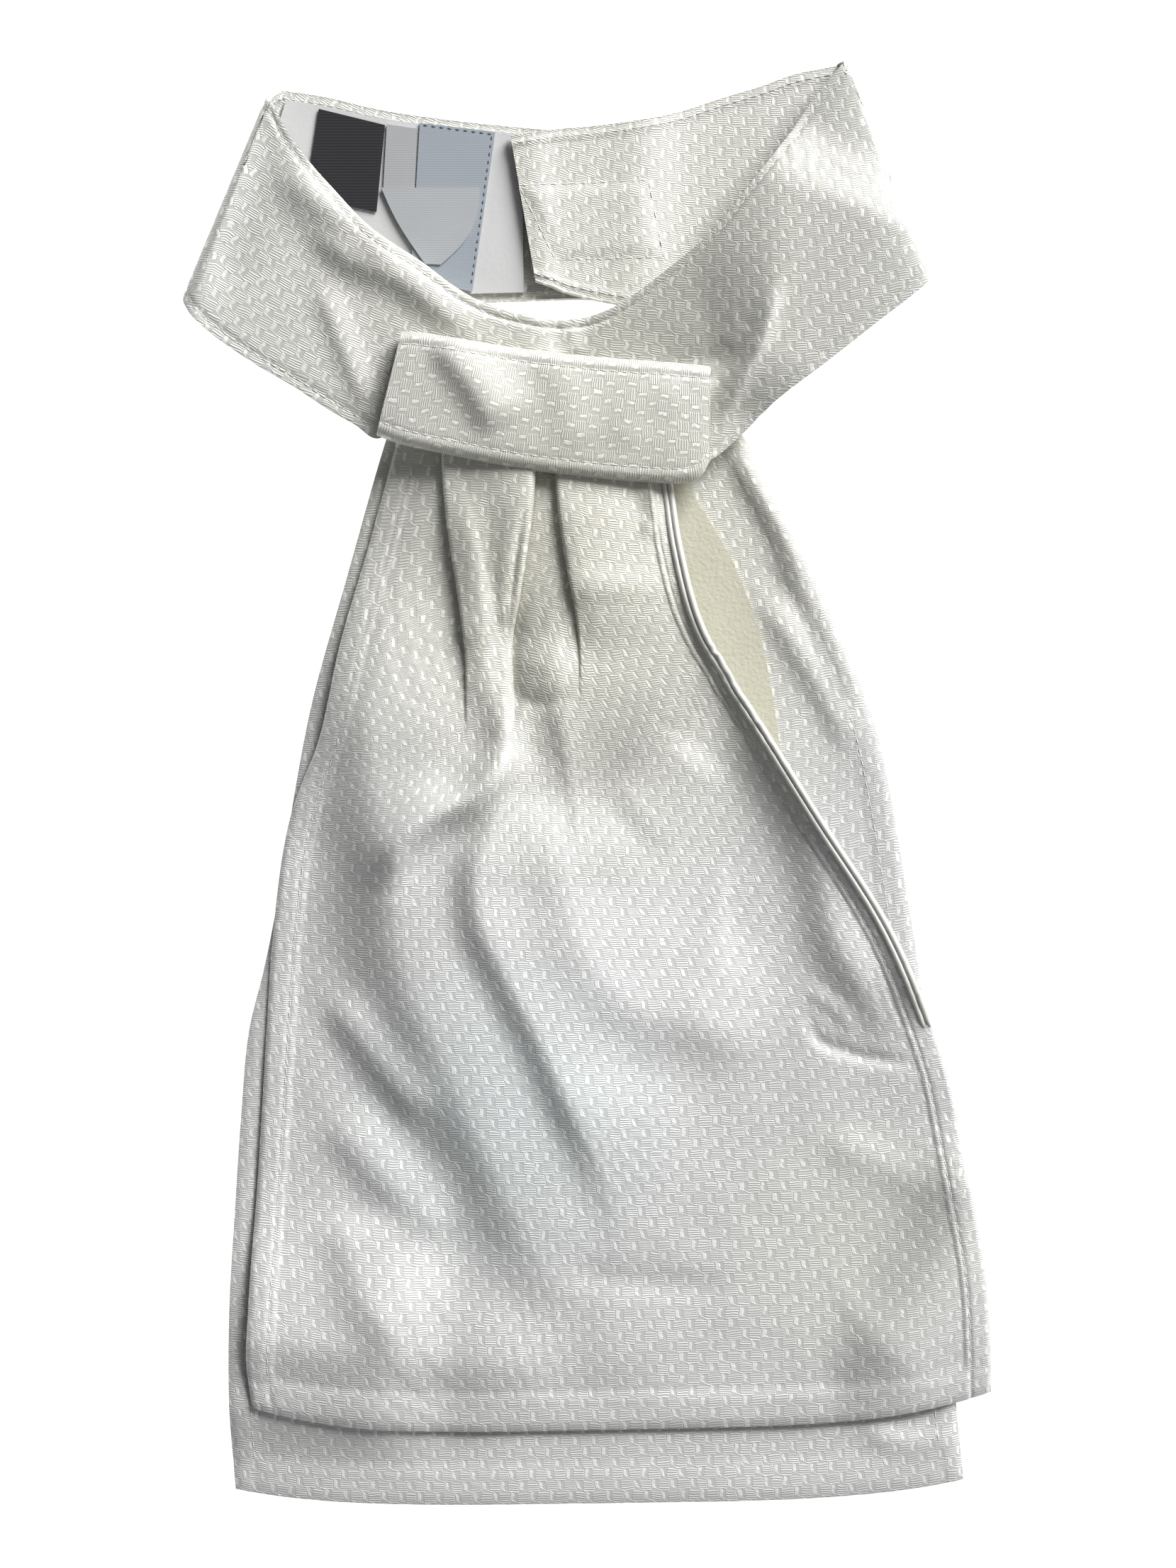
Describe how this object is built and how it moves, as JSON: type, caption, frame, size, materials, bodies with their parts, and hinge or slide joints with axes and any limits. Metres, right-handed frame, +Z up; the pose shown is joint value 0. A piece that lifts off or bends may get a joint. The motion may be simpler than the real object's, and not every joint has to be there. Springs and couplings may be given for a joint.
{
  "type": "ready-tied riding stock cravat",
  "caption": "Ready-tied ivory jacquard cravat laid flat: looped neck band with tab, knot bar, pleated front tail over a longer back tail, bare labels inside.",
  "frame": {"origin": "on the surface that the cravat rests on, under the middle of its bounding box", "axes": "+X to the right as it lies front up, +Y from the hems to the neck band, +Z up from the surface"},
  "size_m": [0.2099, 0.3769, 0.0137],
  "materials": {
    "back_tail": "ivory satin jacquard with a small basket figure",
    "front_tail": "ivory satin jacquard with a small basket figure",
    "tail_lining": "plain matte cream cloth",
    "neck_band": "ivory satin jacquard, edge stitched",
    "band_lining": "smooth white lining",
    "knot_bar": "ivory satin jacquard, figure turned upright",
    "black_label": "black woven taffeta, bare",
    "care_label": "white satin ribbon, bare",
    "care_leaf": "white satin ribbon, bare",
    "satin_label": "silvery blue satin ribbon with dark blue overlock"
  },
  "bodies": {
    "root": {"back_tail": "back_tail", "front_tail": "front_tail", "tail_lining": "tail_lining", "neck_band": "neck_band", "band_lining": "band_lining", "knot_bar": "knot_bar", "black_label": "black_label", "care_label": "care_label", "care_leaf": "care_leaf", "satin_label": "satin_label"}
  },
  "joints": []
}
